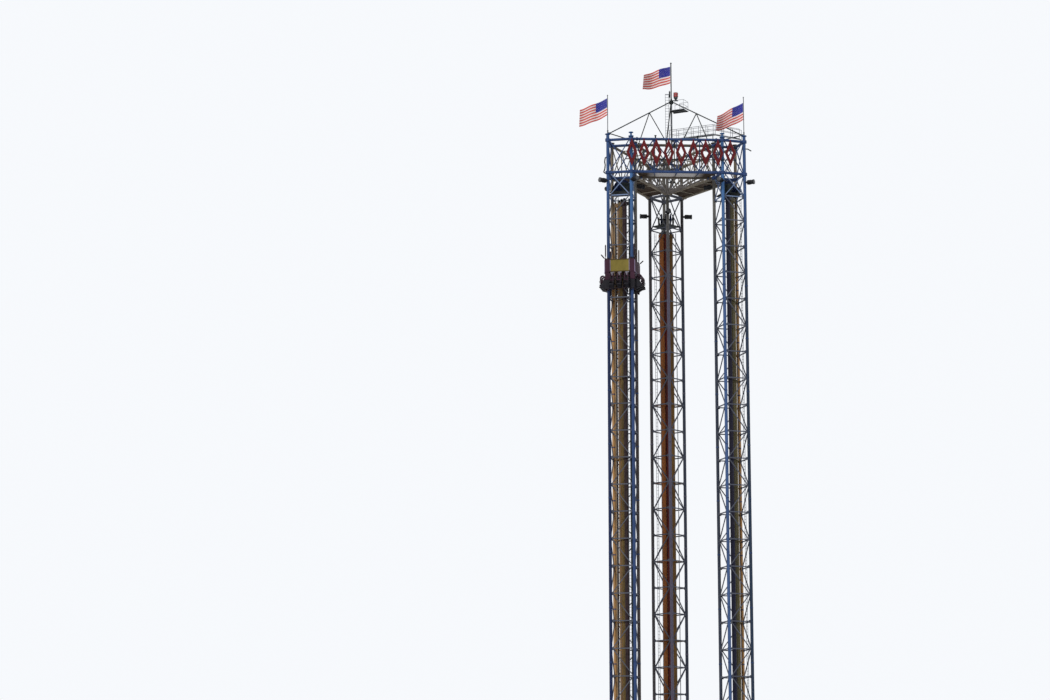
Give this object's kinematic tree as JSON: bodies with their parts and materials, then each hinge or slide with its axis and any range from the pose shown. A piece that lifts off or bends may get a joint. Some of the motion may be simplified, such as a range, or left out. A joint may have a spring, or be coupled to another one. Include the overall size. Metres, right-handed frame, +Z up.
{
  "type": "drop tower ride, 1:10 scale model",
  "caption": "Drop tower ride, 1:10 scale model: lattice towers joined by a crown of box trusses, with carriages of outward-facing seats that slide up and down.",
  "frame": {"origin": "centre of the rear tower's base plate, at its underside", "axes": "+Z up the towers, -Y from the rear tower towards the front pair, +X along the front truss to the right seen from the front"},
  "size_m": [1.8092, 1.5012, 8.579],
  "materials": {
    "blue_paint": "gloss paint, sun-bleached",
    "grey_paint": "gloss paint",
    "lilac_paint": "gloss paint",
    "beige_paint": "weathered paint",
    "dark_steel": "dark paint",
    "orange_paint": "gloss paint",
    "galvanised": "galvanised",
    "black_paint": "satin paint",
    "red_lens": "moulded lens",
    "flag_cloth": "woven nylon",
    "sign_red": "enamel",
    "maroon_panel": "satin paint",
    "yellow_panel": "satin paint",
    "seat_black": "moulded",
    "restraint_grey": "foam skin"
  },
  "bodies": {
    "structure": {"rear_base_plate": "grey_paint", "left_base_plate": "grey_paint", "right_base_plate": "grey_paint", "rear_columns": "grey_paint", "left_columns": "blue_paint", "right_columns": "blue_paint", "rear_lattice": "lilac_paint", "left_lattice": "lilac_paint", "right_lattice": "lilac_paint", "rear_cylinders": "orange_paint", "left_cylinders": "orange_paint", "right_cylinders": "orange_paint", "rear_ladder": "galvanised", "left_ladder": "galvanised", "right_ladder": "galvanised", "rear_floodlights": "black_paint", "left_floodlights": "black_paint", "right_floodlights": "black_paint", "front_truss": "blue_paint", "left_truss": "beige_paint", "right_truss": "beige_paint", "front_walkway": "dark_steel", "left_walkway": "dark_steel", "right_walkway": "dark_steel", "crown_fan": "beige_paint", "mast_catwalk": "galvanised", "mast_hips": "dark_steel", "mast": "dark_steel", "mast_ladder": "galvanised", "mast_platform": "galvanised", "antenna": "dark_steel", "warning_beacon": "red_lens", "left_flagpole": "galvanised", "right_flagpole": "galvanised", "left_flag": "flag_cloth", "right_flag": "flag_cloth", "mast_flag": "flag_cloth", "sign_rails": "dark_steel", "sign_lozenges": "sign_red"},
    "left_carriage": {"left_carriage_frame": "dark_steel", "left_carriage_panels": "maroon_panel", "left_carriage_sign": "yellow_panel", "left_seats": "seat_black", "left_restraints": "restraint_grey"},
    "right_carriage": {"right_carriage_frame": "dark_steel", "right_carriage_panels": "maroon_panel", "right_carriage_sign": "yellow_panel", "right_seats": "seat_black", "right_restraints": "restraint_grey"},
    "rear_carriage": {"rear_carriage_frame": "dark_steel", "rear_carriage_panels": "maroon_panel", "rear_carriage_sign": "yellow_panel", "rear_seats": "seat_black", "rear_restraints": "restraint_grey"}
  },
  "joints": [
    {"name": "left_carriage_lift", "type": "slide", "parent": "structure", "child": "left_carriage", "axis": [0, 0, 1], "range_m": [-5.94, 0.6]},
    {"name": "right_carriage_lift", "type": "slide", "parent": "structure", "child": "right_carriage", "axis": [0, 0, 1], "range_m": [0, 6.5]},
    {"name": "rear_carriage_lift", "type": "slide", "parent": "structure", "child": "rear_carriage", "axis": [0, 0, 1], "range_m": [0, 6.4]}
  ]
}
